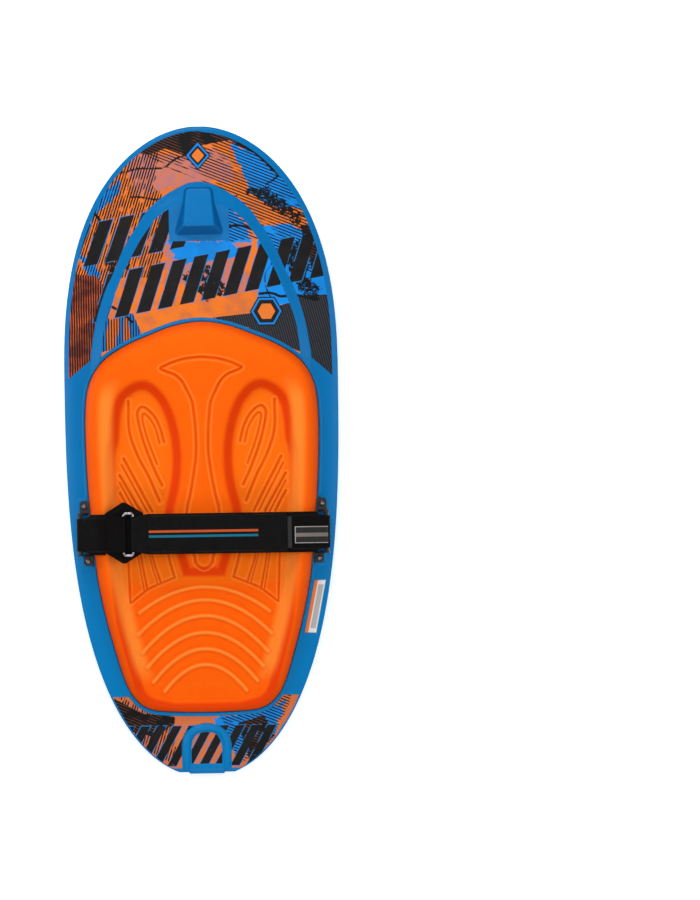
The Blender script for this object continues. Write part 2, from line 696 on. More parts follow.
def strap_print_material():
    """Outer face of the strap: black cloth with two plain printed stripes."""
    m = Material("strap_cloth_print")
    stripe_offset, stripe_half = 4.6, 2.3
    cloth = weave(m, rib=2.0, gain=0.5)
    cloud = m.noise(size=12, detail=4, rough=0.6)
    color = m.mix(cloth.step(zero=0.2, one=0.9) * 0.6, srgb(6, 5, 5), srgb(13, 10, 9))
    across = m.y + (-STRAP_Y)
    printed = (m.x.abs() - 104.0).negative(soft=0.5)
    unworn = m.noise(size=4, detail=4, rough=0.7).step(zero=0.72, one=0.78).inv()
    for offset, strength, tint in ((across - stripe_offset, 0.9, srgb(206, 88, 40)),
                                   (across + stripe_offset, 0.88, srgb(24, 118, 146))):
        stripe = (offset.abs() - stripe_half).negative(soft=0.3) * printed
        color = m.mix(stripe * unworn * strength, color, tint)
    fuzz = m.noise(size=0.5, rough=0.7)
    return m.finish(color, cloud.spread(low=0.55, high=0.78), spec=0.12,
                    bump=cloth + fuzz * 0.3, bump_mm=0.22)


def label_material():
    m = Material("woven_label")
    along, across = m.attr("pu"), m.attr("pv")
    middle = 16.0                               # half the label's width
    twill = hatch(along + across, spacing=4.0, width=1.6)
    color = m.mix(twill * 0.35, srgb(20, 18, 18), srgb(60, 56, 54))
    stripe = ((across - middle).abs() - 3.6).negative(soft=0.3)
    color = m.mix(stripe, color, srgb(120, 112, 108))
    border = ((across - middle).abs() - 14.6).positive(soft=0.25)
    border = border.max(along.step(zero=2.0, one=1.4))
    color = m.mix(border, color, srgb(176, 168, 164))
    threads = (along * 5.2).sin() * (across * 5.2).sin()
    return m.finish(color, rough=0.6, spec=0.3, bump=threads, bump_mm=0.08)


def sticker_material():
    m = Material("rim_sticker")
    across, along = m.attr("pu"), m.attr("pv")  # across 0 to 1, along in mm from the front
    color = m.mix(across.step(zero=0.0, one=1.0), srgb(226, 226, 224), srgb(236, 236, 236))
    color = m.mix((across - 0.30).negative(soft=0.01), color, srgb(238, 120, 34))
    panel = ((across - 0.42).positive(soft=0.01) * (across - 0.88).negative(soft=0.01)
             * (along - 9).positive(soft=0.4) * (along - 94).negative(soft=0.4))
    color = m.mix(panel * 0.85, color, srgb(168, 168, 170))
    border = ((across - 0.5).abs() - 0.47).positive(soft=0.006)
    border = border.max((along - 51.5).abs().step(zero=50.3, one=50.9))
    color = m.mix(border * 0.6, color, srgb(90, 92, 96))
    return m.finish(color, m.noise(size=8, detail=2).spread(low=0.3, high=0.42),
                    bump=m.noise(size=2, detail=2), bump_mm=0.02)


# ---------------------------------------------------------------- plastics and metals
def plastic_material(name, color, rough=0.45):
    m = Material(name)
    cloud = m.noise(size=3.5, detail=4, rough=0.6)
    lighter = tuple(min(1, c * 2.2 + 0.004) for c in color[:3]) + (1,)
    mixed = m.mix(cloud.step(zero=0.45, one=0.7) * 0.4, color, lighter)
    return m.finish(mixed, cloud.spread(low=rough - 0.06, high=rough + 0.1),
                    bump=m.noise(size=0.6), bump_mm=0.06)


def metal_material(name, color, rough, stretch_y=0.35):
    """A lower stretch_y draws the grain out along y."""
    m = Material(name)
    grain = m.noise(size=1.0, rough=0.6, at=m.combine(m.x * 0.35, m.y * stretch_y, m.z))
    darker = tuple(c * 0.6 for c in color[:3]) + (1,)
    mixed = m.mix(m.noise(size=9).step(zero=0.5, one=0.75) * 0.3, color, darker)
    return m.finish(mixed, grain.spread(low=rough, high=rough + 0.14), metal=1.0,
                    bump=grain, bump_mm=0.02)


SHELL = shell_material()
PAD = pad_material()
GRAPHIC = graphic_material()
WEBBING = webbing_material()
NEOPRENE = neoprene_material()
STRAP_PRINT = strap_print_material()
LABEL = label_material()
STICKER = sticker_material()
BLACK = plastic_material("black_nylon", srgb(16, 16, 18))
FOAM = plastic_material("core_foam", (0.7, 0.62, 0.4, 1), rough=0.8)
STEEL = metal_material("ring_steel", (0.36, 0.36, 0.38, 1), rough=0.22, stretch_y=0.12)
SCREW = metal_material("screw_steel_black_oxide", (0.17, 0.17, 0.18, 1), rough=0.3)
BRASS = metal_material("insert_brass", (0.78, 0.58, 0.26, 1), rough=0.3)
THREAD = plastic_material("stitch_thread", srgb(46, 40, 36), rough=0.7)
FASTENER = plastic_material("hook_fastener_nylon", srgb(20, 20, 22), rough=0.6)


# ---------------------------------------------------------------- shell
def shell_stations():
    """Rows along y, close together where the nose and tail round off."""
    near = np.array([0, 0.35, 0.9, 1.7, 2.8, 4.2, 6.0, 8.2, 10.6, 13.0])
    rear, front = TAIL_Y + near, NOSE_Y - near[::-1]
    step = 2.4
    middle = np.linspace(rear[-1], front[0], int((front[0] - rear[-1]) / step) + 1)[1:-1]
    return np.concatenate([rear, middle, front])


def build_shell():
    deck_steps, hull_steps = ((280, 220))
    stations = shell_stations()
    across = np.cos(np.pi * np.arange(deck_steps + 1) / deck_steps)
    y, u = np.meshgrid(stations, across, indexing="ij")
    x = u * half_width(y)
    recess = 6.5 * is_inside(x, y, offset_loop(PAD_OUTLINE, 3.2))
    deck = np.stack([x, y, deck_height(x, y) - recess], -1)
    across = -np.cos(np.pi * np.arange(1, hull_steps) / hull_steps)
    y, u = np.meshgrid(stations, across, indexing="ij")
    x = u * half_width(y)
    hull = np.stack([x, y, hull_height(x, y)], -1)
    rings = np.concatenate([deck, hull], 1)
    rows, columns = rings.shape[:2]
    faces = grid_faces(rows, columns, wrap=True, flip=True)
    tail, nose = rows * columns, rows * columns + 1     # centre points that close the ends
    last = (rows - 1) * columns
    for j in range(columns):
        following = (j + 1) % columns
        faces.append([tail, following, j])
        faces.append([nose, last + j, last + following])
    verts = np.vstack([rings.reshape(-1, 3), rings[0].mean(0), rings[-1].mean(0)])
    mesh_object("shell_skin", verts, faces, SHELL, "board", slot="shell_blue",
                replaces=("hull_shell",))


def build_pad_lip():
    """Raised bead of the shell round the knee pad, sunk where it meets the feet."""
    # (outwards from the pad outline, above the deck)
    profile = [(0.7, -6.0), (0.75, -0.9), (0.95, 0.15), (1.5, 0.75), (2.6, 1.05),
               (4.4, 1.05), (5.6, 0.75), (6.6, 0.15), (7.4, -0.6)]
    count = 700
    outline = resample(PAD_OUTLINE, count)
    rows = []
    for gap, height in profile:
        x, y = offset_loop(outline, gap).T
        lift = np.full(count, height)
        if height > 0:
            clear = np.ones(count)
            for foot in FEET:
                clear = np.minimum(clear, smooth(foot_gap(x, y, foot) / 6.0) * 0.98)
            lift = lift * clear
        rows.append(np.column_stack([x, y, deck_height(x, y) + lift]))
    mesh_object("shell_pad_lip", np.vstack(rows),
                grid_faces(len(profile), count, wrap=True, flip=True), SHELL, "board",
                slot="shell_blue")


def rounded_trapezoid(rear_y, front_y, rear_half, front_half, radius):
    corners = np.array([(front_half, front_y), (-front_half, front_y),
                        (-rear_half, rear_y), (rear_half, rear_y)], float)
    points = []
    for i in range(4):
        before, corner, after = corners[i - 1], corners[i], corners[(i + 1) % 4]
        points.append(round_corner(corner + unit(before - corner) * radius, corner,
                                   corner + unit(after - corner) * radius, 10))
    return np.vstack(points)


def build_tow_hook():
    """Wedge on the nose with rolled edges, highest at its rear."""
    top_rear, top_front = 427, 497
    top_heights = [plain_deck(0, top_rear) + 30.0, plain_deck(0, top_front) + 6.5]
    rings = []

    def add_ring(outline, share, lift=0.0):
        """Ring at a share of the way from the deck to the sloping top."""
        x, y = outline.T
        base = deck_height(x, y) - 0.6
        top = np.interp(y, [top_rear, top_front], top_heights)
        rings.append(np.column_stack([x, y, base + share * (top - base) + lift]))

    # Foot and walls: (share of the height, growth of the outline)
    levels = [(-0.12, 9.0), (-0.04, 3.5), (0.0, 1.2), (0.06, 0.0)]
    levels += [(share, 0.0) for share in np.linspace(0.12, 0.90, 9)]
    for share, grow in levels:
        up = max(0, share)
        outline = rounded_trapezoid(
            rear_y=408 - grow + 19 * up, front_y=500 + grow * 0.7 - 3 * up,
            rear_half=48 + grow - 19 * up, front_half=26 + grow * 0.6 - 3.5 * up,
            radius=7 + 2 * (1 - up))
        add_ring(outline, up, 0.0 if share > 0 else 1.2 * (share / 0.12 + 1) - 0.9)
    # Rolled top edge: (inset, share of the height)
    for inset, share in ((0.55, 0.955), (1.5, 0.985), (3.0, 1.0), (9.0, 1.0)):
        add_ring(rounded_trapezoid(
            rear_y=top_rear - 1.2 + inset, front_y=top_front - inset + 0.6,
            rear_half=29.6 - inset, front_half=23 - inset * 0.9,
            radius=max(2.0, 6 - inset * 0.4)), share)
    rows, columns = len(rings), len(rings[0])
    faces = grid_faces(rows, columns, wrap=True, flip=True)
    last = (rows - 1) * columns
    faces += [[last + (j + 1) % columns, last + j, rows * columns] for j in range(columns)]
    hook = mesh_object("shell_tow_hook", np.vstack(rings + [rings[-1].mean(0)]), faces, SHELL,
                       "board", slot="shell_blue")
    clean_mesh(hook)


def build_tail_bead():
    """Half-sunk bead that arches over the middle of the tail."""
    path = catmull(mirrored([(-38.6, -608), (-38.5, -585), (-38.2, -565), (-35.5, -549),
                             (-29, -537), (-18, -529.5), (0, -527)]), 8)
    x, y = path.T
    path = np.column_stack([x, y, deck_height(x, np.clip(y, -601, 0)) - 2.6])
    radius = 7.8 - 2.6 * smooth((-590 - y) / 18.0)
    along = np.gradient(path, axis=0)
    along /= np.linalg.norm(along, axis=1)[:, None]
    side = np.cross(along, np.array([0, 0, 1.0]))
    side /= np.linalg.norm(side, axis=1)[:, None] + 1e-9
    up = np.cross(side, along)
    angle = np.linspace(0, 2 * np.pi, 24, endpoint=False)[None, :, None]
    section = np.cos(angle) * side[:, None] + 0.95 * np.sin(angle) * up[:, None]
    capped_rings("shell_tail_bead", path[:, None] + section * radius[:, None, None], SHELL,
                 "board", slot="shell_blue")


def build_tail_lip():
    """Rounded bar across the end of the tail."""
    rail_z = float(rail_height(TAIL_Y))
    low = np.array([-34, -615, rail_z - 4.0])
    high = np.array([34, -597, rail_z + 4.2])
    bm = bmesh.new()
    bmesh.ops.create_cube(bm, size=1.0)
    for vert in bm.verts:
        vert.co = Vector(((low + high) / 2 + np.array(vert.co) * (high - low)) * MM)
    bmesh.ops.bevel(bm, geom=list(bm.edges), offset=3.2 * MM, segments=4, profile=0.5,
                    affect="EDGES", clamp_overlap=True)
    mesh = bpy.data.meshes.new("shell_tail_lip")
    bm.to_mesh(mesh)
    bm.free()
    place_mesh(mesh, SHELL, "board")


build_shell()
build_pad_lip()
build_tow_hook()
build_tail_bead()
build_tail_lip()

# ---------------------------------------------------------------- kneeling pad
# Edge of the sunken floor as (|x|, y): up the centre block, then down the outer side
PAD_FLOOR = np.vstack([catmull([
    (54, -215), (70, -160), (80, -118), (70, -73), (65, -39), (64, -5), (68, 30), (77, 64),
    (91, 92), (113, 109), (139, 92), (148, 58), (151, 23), (158, -5), (159, -40), (159, -118),
    (156, -200), (151, -253), (144, -322), (132, -374), (118, -426), (104, -460), (60, -474),
], 5), [(-60, -474), (-60, -247), (44, -247)]])

# Pad grooves: points as (|x|, y), half width, depth
PAD_GROOVES = [
    ([(72, 16), (80, 45), (92, 68), (110, 83), (120, 78), (122, 64), (112, 20), (94, -30),
      (77, -67)], 1.9, 2.4),
    ([(81, 14), (88, 42), (99, 61), (109, 70), (113, 60), (103, 20), (86, -26)], 1.6, 1.8),
    ([(139, 95), (138, 37), (122, -11), (104, -46), (82, -98)], 1.9, 2.4),
    ([(150, -14), (125, -62), (97, -117)], 1.9, 2.4),
    ([(154, -26), (131, -69), (106, -117)], 1.5, 1.8),
    ([(158, -46), (138, -82), (118, -118)], 1.9, 2.4),
    ([(158, -60), (143, -88), (127, -118)], 1.5, 1.8),
    ([(158, -80), (147, -100), (138, -118)], 1.7, 2.0),
    ([(-6, 177), (0, 177), (30, 174), (55, 167), (71, 160), (77, 156), (66, 150), (49, 143),
      (36, 130), (28, 115), (20, 98), (16, 82), (12, 37), (12, -8), (17, -46), (23, -80),
      (31, -118), (30, -160), (18, -200), (16, -212), (9, -221), (0, -225), (-6, -224)],
     1.9, 2.2),
    ([(70, -160), (67, -200), (56, -241)], 1.8, 2.2),
    ([(104, -150), (98, -200), (82, -252)], 1.7, 2.0),
    ([(109, -150), (103, -200), (88, -254)], 1.3, 1.4),
    ([(126, -150), (120, -200), (108, -264)], 1.7, 2.0),
    ([(131, -150), (125, -200), (114, -266)], 1.3, 1.4),
    ([(146, -160), (144, -205), (141, -288)], 1.6, 1.8),
    ([(56, -241), (82, -252), (108, -264), (141, -290)], 1.6, 1.8),
]
# Bowed cross ribs on the rear floor: |x| of the ends, y of the ends, y on the centre line
PAD_RIBS = [(124, -308, -260), (127, -350, -285), (119, -384, -315), (110, -412, -347),
            (99, -440, -378), (78, -458, -408)]
PAD_CREST = ([-498, -440, -380, -300, 90, 150, 200, 244],     # y
             [74, 80, 86, 88, 88, 85, 80, 76])                # height
FLOOR_Z, RIDGE_Z = 66, 83


def pad_surface(x, y):
    """Height of the pad, and the attributes that its material is tinted by."""
    side = np.abs(x)
    from_rim = np.maximum(signed_distance(x, y, PAD_OUTLINE), 0.0)
    from_floor = -signed_distance(side, y, PAD_FLOOR)
    floor = FLOOR_Z - 2 * smooth((-y - 245) / 16.0)
    crest = np.interp(y, *PAD_CREST)
    ridge = RIDGE_Z + (crest - RIDGE_Z) * smooth((66 - from_rim) / 26.0)
    rise = smooth(from_floor / 31.0)
    top = floor + (ridge - floor) * rise
    # Shallow hollow either side of the centre line
    top = top - 0.72 * smooth(side / 40.0) * smooth((60 - side) / 30.0) * (y < 150) * (y > -240)
    cut, cavity, lip, rib = (np.zeros_like(x) for _ in range(4))
    for points, half, depth in PAD_GROOVES:
        gap = polyline_distance(side, y, catmull(points, 5))
        groove = smooth(1 - gap / (half * 1.9))
        cut = np.maximum(cut, 1.25 * depth * groove)
        cavity = np.maximum(cavity, groove)
        lip = np.maximum(lip, smooth(1 - np.abs(gap - half * 2.7) / (half * 1.3)))
    lip = lip * (1 - cavity)
    crease = smooth(1 - np.abs(from_floor - 1.0) / 2.4)
    cut = np.maximum(cut, 0.7 * crease)
    cavity = np.maximum(cavity, 0.22 * crease)
    for end_x, end_y, middle_y in PAD_RIBS:
        rib_x = np.linspace(-18, end_x, 14)
        rib_y = middle_y - (middle_y - end_y) * (np.abs(rib_x) / end_x) ** 2
        gap = polyline_distance(side, y, np.column_stack([rib_x, rib_y]))
        rib = np.maximum(rib, smooth(1 - gap / 6.5))
        beside = smooth(1 - np.abs(gap - 7.0) / 2.0) * 0.55 * (from_floor < -2)
        cavity = np.maximum(cavity, beside)
        cut = np.maximum(cut, 0.8 * beside)
    top = top + 0.5 * lip + 2.8 * rib - cut
    # Quarter round down to the rim
    roll = np.sqrt(1 - (1 - np.clip(from_rim / 26.0, 0, 1)) ** 2)
    rim = plain_deck(x, np.clip(y, TAIL_Y + 20, NOSE_Y - 20)) + 3.0 + 5.0 * smooth((y - 190) / 50.0)
    z = rim + (top - rim) * roll
    crest_band = (smooth(1.25 - np.abs(from_rim - 38.0) / 17.0) * smooth((y + 455) / 60.0)
                  * smooth((150 - y) / 60.0))
    return z, {
        "cav": cavity, "hgt": np.clip((z - FLOOR_Z) / 22.0, 0, 1),
        "slope": np.clip(4.0 * rise * (1 - rise), 0, 1), "rib": rib, "crest": crest_band,
        "lit": lip, "rim": smooth(1 - from_rim / 20.0)}


def build_pad():
    """Rings from a line on the centre out to the rim, then a wall down into the shell."""
    around, rings = ((1300, 150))
    outline = resample(PAD_OUTLINE, around)
    spine = np.column_stack([np.zeros(around), np.clip(outline[:, 1], -360, 110)])
    t = 1 - (1 - np.linspace(0, 1, rings)) ** 1.35
    flat = spine[None] + (outline - spine)[None] * t[:, None, None]
    z, attrs = pad_surface(flat[..., 0], flat[..., 1])
    foot_z = deck_height(outline[:, 0], outline[:, 1]) - 5.5
    wall = [np.column_stack([outline, z[-1] + (foot_z - z[-1]) * share])
            for share in (0.25, 0.6, 1.0)]
    points = np.concatenate([np.dstack([flat, z]), wall], 0)
    wall_values = {"cav": 0.4, "slope": 0.0, "rib": 0.0, "crest": 0.0, "lit": 0.0}
    for key, values in attrs.items():
        wall_row = np.full(around, wall_values[key]) if key in wall_values else values[-1]
        attrs[key] = np.vstack([values, [wall_row] * len(wall)])
    pad = mesh_object("pad_skin", points.reshape(-1, 3),
                      grid_faces(rings + len(wall), around, wrap=True), PAD, "board",
                      attrs=attrs, slot="pad_orange", replaces=("knee_pad",))
    clean_mesh(pad, merge=0.00012)


build_pad()

# ---------------------------------------------------------------- printed films
# Areas of the print, each a union of polygons in (x, y)
PRINT_ZONES = {
    # salmon
    "z_sa": [[(-140, 566), (-20, 560), (30, 540), (30, 512), (-60, 498), (-120, 486)],
             [(-52, 474), (-78, 446), (-66, 396), (-60, 330), (-10, 300), (100, 300),
              (70, 380), (110, 400), (60, 470)],
             [(20, 575), (60, 560), (70, 505), (20, 515)],
             [(-160, -480), (-90, -500), (-100, -560), (-140, -530)]],
    # blue
    "z_bl": [[(62, 580), (120, 560), (215, 455), (150, 458), (96, 486), (82, 540)],
             [(108, 424), (176, 428), (238, 372), (262, 270), (112, 276), (118, 350)],
             [(-232, 374), (-206, 366), (-186, 328), (-202, 322)],
             [(52, 470), (92, 420), (100, 392), (52, 392)],
             [(-60, 398), (60, 398), (90, 366), (-40, 352)],
             [(-215, 470), (-150, 515), (-150, 490), (-205, 440)],
             [(10, -508), (100, -500), (150, -480), (130, -540), (60, -590)]],
    # short slanted hatching
    "z_hl": [[(-262, 200), (-262, 440), (-170, 560), (-70, 600), (-84, 500), (-52, 474),
              (-78, 330), (-160, 330), (-200, 260)],
             [(-165, -465), (-60, -508), (-60, -600), (-130, -560)]],
    # long falling hatching
    "z_hr": [[(-90, 606), (-96, 560), (-40, 530), (0, 512), (60, 486), (98, 452), (150, 372),
              (190, 340), (262, 320), (250, 420), (180, 540), (60, 612)],
             [(52, 470), (76, 452), (112, 400), (52, 396)],
             [(30, -508), (165, -466), (120, -560), (60, -600)]],
    # black
    "z_bk": [[(-150, 575), (-96, 562), (-60, 574), (-20, 560), (0, 578), (60, 588),
              (110, 560), (150, 520), (160, 540), (70, 620), (-70, 620)],
             [(186, 292), (262, 292), (262, 100), (205, 160), (196, 236)],
             [(192, 425), (262, 425), (262, 335), (216, 330), (206, 372)],
             [(24, 251), (100, 258), (172, 278), (181, 276), (200, 180), (140, 205), (90, 232)],
             [(-175, -470), (-120, -500), (-60, -504), (-60, -520), (-100, -545), (-190, -520)],
             [(60, -520), (110, -505), (130, -545), (80, -590)]],
    # dark hatched panels
    "z_pn": [[(187, 290), (250, 290), (254, 100), (205, 160), (197, 236)],
             [(28, 252), (100, 259), (172, 278), (180, 275), (200, 180), (140, 205),
              (90, 232)]],
    # brown stripes
    "z_br": [[(-265, 100), (-205, 160), (-196, 236), (-188, 268), (-176, 306), (-196, 334),
              (-246, 338), (-250, 290)]],
    # orange and blue stripes
    "z_vs": [[(-196, 186), (-182, 262), (-172, 250), (-128, 262), (-112, 224), (-146, 200)]],
    # blotches
    "z_sp": [[(150, 372), (200, 400), (206, 330), (232, 300), (214, 280), (190, 300)],
             [(-40, 330), (20, 350), (60, 300), (10, 285)],
             [(80, 495), (130, 500), (200, 445), (190, 420), (120, 470)],
             [(-182, 360), (-150, 400), (-130, 350), (-160, 320)]],
}
OUTSIDE = -99.0                 # distance given to places far outside every shape
# Rows of slanted blocks on the nose: x and y of the row's corner, height, number of blocks
BLOCK_ROWS = ((-204, 246, 84, 11), (-262, 344, 78, 6))
BLOCK_TILT = math.radians(10.5)
BLOCK_PITCH, BLOCK_WIDTH, BLOCK_SHEAR = 42.0, 27.0, 46.0


def block_distance(x, y):
    """Signed distance to the equal slanted blocks on the nose and across the tail."""
    cos, sin = math.cos(BLOCK_TILT), math.sin(BLOCK_TILT)
    best = np.full(x.shape, OUTSIDE)
    for row_x, row_y, height, count in BLOCK_ROWS:
        up = -(x - row_x) * sin + (y - row_y) * cos
        along = (x - row_x) * cos + (y - row_y) * sin - BLOCK_SHEAR * up / height
        slant = math.cos(math.atan2(BLOCK_SHEAR, height))
        for i in range(count):
            start = i * BLOCK_PITCH
            sides = np.minimum((along - start) * slant, (start + BLOCK_WIDTH - along) * slant)
            best = np.maximum(best, np.minimum(np.minimum(sides, up), height - up))
    pitch = 30.0
    across = np.mod(x - 0.55 * (y + 560.0), pitch) - pitch / 2
    tail = np.minimum((8.5 - np.abs(across)) * 0.876, np.minimum(y + 600.0, -524.0 - y))
    return np.maximum(best, np.where(y < -440, tail, OUTSIDE))


def crack_paths():
    """Random wandering cracks as (points, half width)."""
    rng = np.random.RandomState(23)
    cracks = []
    for _ in range(11):
        place = np.array([rng.uniform(-220, 220), rng.uniform(150, 590)])
        heading = rng.uniform(-0.9, 0.9) + (math.pi if rng.rand() < 0.5 else 0.0)
        points = [place]
        for _ in range(rng.randint(4, 9)):
            heading += rng.uniform(-0.55, 0.55)
            direction = np.array([math.cos(heading), math.sin(heading)])
            place = place + direction * rng.uniform(14, 27)
            points.append(place)
        cracks.append((points, rng.uniform(1.0, 2.8)))
    return cracks


def graphic_attrs(x, y):
    """Signed distances, positive inside, that the film material draws from."""
    attrs = {}
    for name, polygons in PRINT_ZONES.items():
        attrs[name] = np.full(x.shape, OUTSIDE)
        for polygon in polygons:
            attrs[name] = np.maximum(attrs[name], signed_distance(x, y, polygon))
    crack = np.full(x.shape, OUTSIDE)
    for points, half in crack_paths():
        crack = np.maximum(crack, half - polyline_distance(x, y, catmull(points, 4)))
    attrs["crack"] = crack
    attrs["bars"] = np.clip(block_distance(x, y), -30, 30)
    attrs["barglow"] = np.ones(x.shape)
    # Hexagon on the right of the fore deck, diamond on the nose
    hex_x, hex_y = np.abs(x - 126), np.abs(y - 262)
    attrs["emblem"] = 27.5 - np.maximum(hex_y, hex_x * 0.866 + hex_y * 0.5)
    attrs["shield"] = (28.0 - np.abs(x) * 1.12 - np.abs(y - 560)) * 0.707
    return attrs


def build_film(name, x, y, part, slot):
    points = np.dstack([x, y, deck_height(x, y) + 0.38])
    film = mesh_object(name, points.reshape(-1, 3), grid_faces(*x.shape), GRAPHIC, "board",
                       attrs=graphic_attrs(x, y), slot=slot, replaces=(part,))
    clean_mesh(film, merge=0.00005, recalc=False)


def build_nose_film():
    """Horseshoe between the arch step and the rail."""
    around, rows = ((640, 34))
    y = np.linspace(120, 614.9, 900)
    rail = np.column_stack([half_width(y), y])
    rail = np.vstack([rail, [[0, 615.4]], (rail * [-1, 1])[::-1]])
    along = np.gradient(rail, axis=0)
    along /= np.hypot(along[:, 0], along[:, 1])[:, None]
    inset = np.where(rail[:, 0] > 0, 11.0, 9.0)
    outer = rail + np.stack([-along[:, 1], along[:, 0]], 1) * inset[:, None]
    outer = resample(outer[outer[:, 1] > 139], around, closed=False)
    # Inner edge, right half as (x, y), moved clear of the step
    inner = np.array([
        (208, 172), (207, 185), (199, 233), (190, 268), (177, 306), (162, 337), (146, 375),
        (132, 402), (115, 428), (97, 454), (77, 473), (57, 487), (37, 498), (18, 506.5),
        (0, 509.5)], float) + [2.2, 1.2]
    inner[-1, 0] = 0
    right = np.vstack([outer[0] + [-0.5, 0.5], catmull(inner, 8)])
    left = right * [-1, 1]
    left[0] = outer[-1] + [0.5, 0.5]
    inner = resample(np.vstack([right, left[:-1][::-1]]), around, closed=False)
    t = np.linspace(0, 1, rows)[:, None, None]
    grid = inner[None] * (1 - t) + outer[None] * t
    build_film("film_nose", grid[..., 0], grid[..., 1], "nose_graphic", "film_nose")


def build_fore_film():
    """Between the front of the knee pad and the arch step, cut straight behind the hook."""
    across, rows = ((340, 260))
    side_x, notch_x = 188.5, 57
    x = np.concatenate([np.linspace(-side_x, -notch_x - 0.02, across // 3),
                        np.linspace(-notch_x, notch_x, across // 3),
                        np.linspace(notch_x + 0.02, side_x, across // 3)])
    lip = offset_loop(PAD_OUTLINE, 8.0)
    lip = lip[lip[:, 1] > 150]
    lip = lip[np.argsort(lip[:, 0])]
    rear = np.interp(x, lip[:, 0], lip[:, 1])
    arch = ARCH_INNER[(ARCH_INNER[:, 1] > 180) & (ARCH_INNER[:, 0] >= 0)]
    arch = arch[np.argsort(arch[:, 0])]
    front = np.interp(np.abs(x), arch[:, 0], arch[:, 1]) - 2.2
    front = np.where(np.abs(x) < notch_x + 0.01, 397.5, front)
    front = np.maximum(front, rear + 0.2)
    t = np.linspace(0, 1, rows)[:, None]
    build_film("film_foredeck", np.repeat(x[None], rows, 0), rear[None] * (1 - t) + front[None] * t,
               "foredeck_graphic", "film_fore")


def build_tail_films():
    """Right and left films beside the tail bead, and a small one inside it."""
    rows, across = ((170, 110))
    y = np.linspace(-604.5, -467.5, rows)
    lip = offset_loop(PAD_OUTLINE, 8.2)
    lip = lip[(lip[:, 1] < -380) & (lip[:, 0] > 0)]
    lip = lip[np.argsort(lip[:, 1])]
    beside_lip = np.where(y > lip[0, 1], np.interp(y, lip[:, 1], lip[:, 0]), 0.0)
    bead_x = np.interp(y, [-604, -560, -545, -534, -526, -519],
                       [47.5, 47.5, 44.5, 38.0, 26.0, 8.0])
    beside_bead = np.where(y < -519, bead_x, 0.0)
    outer = half_width(y) - 4.0
    inner = np.minimum(np.maximum(beside_lip, beside_bead), outer - 0.2)
    t = np.linspace(0, 1, across)[None, :]
    x = inner[:, None] * (1 - t) + outer[:, None] * t
    y = np.repeat(y[:, None], across, 1)
    for side, name in ((1, "film_tail_right"), (-1, "film_tail_left")):
        build_film(name, side * x, y, "tail_graphic", "film_tail")
    rows, across = ((90, 60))
    y = np.linspace(-596.0, -536.0, rows)
    half = np.interp(y, [-596, -566, -553, -543, -537.5, -536], [29, 29, 26.5, 21, 12, 0.5])
    build_film("film_tail_inner", half[:, None] * np.linspace(-1, 1, across)[None, :],
               np.repeat(y[:, None], across, 1), "tail_graphic", "film_tail")


def build_sticker():
    """Four-sided sticker on the right rim, beside the rear half of the pad."""
    across_count, along_count, length = 24, 90, 103.0
    front_inner, front_outer, rear_outer, rear_inner = np.array(
        [(210, -250), (231.5, -250), (211.5, -351), (189.5, -350)], float)
    across, along = np.meshgrid(np.linspace(0, 1, across_count),
                                np.linspace(0, 1, along_count), indexing="ij")
    u, v = across[..., None], along[..., None]
    grid = ((front_inner * (1 - v) + rear_inner * v) * (1 - u)
            + (front_outer * (1 - v) + rear_outer * v) * u)
    z = deck_height(grid[..., 0], grid[..., 1]) + 0.4
    mesh_object("sticker_rim", np.dstack([grid, z]).reshape(-1, 3),
                grid_faces(across_count, along_count, flip=True), STICKER, "board",
                attrs={"pu": across, "pv": along * length}, slot="label_white",
                replaces=("rim_label",))


build_nose_film()
build_fore_film()
build_tail_films()
build_sticker()


# ---------------------------------------------------------------- strap paths, as (x, z)
def fillet_path(points, radius, steps=14):
    points = np.asarray(points, float)
    pieces = [points[:1]]
    for before, corner, after in zip(points, points[1:], points[2:]):
        back, ahead = before - corner, after - corner
        angle = math.acos(np.clip(unit(back) @ unit(ahead), -1, 1))
        reach = min(radius / math.tan(angle / 2), 0.45 * np.linalg.norm(back),
                    0.45 * np.linalg.norm(ahead))
        pieces.append(round_corner(corner + unit(back) * reach, corner,
                                   corner + unit(ahead) * reach, steps))
    return np.vstack(pieces + [points[-1:]])


def clip_x(path, low, high):
    path = dense(path, 0.8)
    return path[(path[:, 0] >= low) & (path[:, 0] <= high)]


def path_normals(path):
    along = np.gradient(path, axis=0)
    along /= np.hypot(along[:, 0], along[:, 1])[:, None]
    return np.stack([-along[:, 1], along[:, 0]], 1)


def heading(degrees):
    return np.array([math.cos(math.radians(degrees)), math.sin(math.radians(degrees))])


def arc(x, z, radius, start, end, count):
    angle = np.radians(np.linspace(start, end, count))
    return np.column_stack([x + radius * np.cos(angle), z + radius * np.sin(angle)])


def taper(x):
    """Width factor of the webbing, narrower towards the bars."""
    return 1.0 - 0.12 * smooth((np.abs(x) - 212) / 24.0)


# The strap leaves its shoulder on a line that touches the wrap round the bar
bar_reach = math.hypot(SHOULDER_X - BAR_X, WEB_Z - BAR_Z)
TOUCH = math.degrees(math.atan2(WEB_Z - BAR_Z, SHOULDER_X - BAR_X)
                     - math.acos(BAR_WRAP / bar_reach))
touch_point = np.array([BAR_X, BAR_Z]) + BAR_WRAP * heading(TOUCH)
MAIN_PATH = fillet_path([(-130.0, WEB_Z), (SHOULDER_X, WEB_Z), touch_point], 26)
LEFT_PATH = MAIN_PATH[::-1] * [-1, 1]

wrap = arc(BAR_X, BAR_Z, BAR_WRAP, TOUCH, TOUCH - WRAP_TURN, 44)
wrap_end = wrap[-1] + heading(TOUCH - WRAP_TURN - 90) * 9.0
MAIN_WEB_PATH = np.vstack([MAIN_PATH[:-1], wrap, wrap_end])

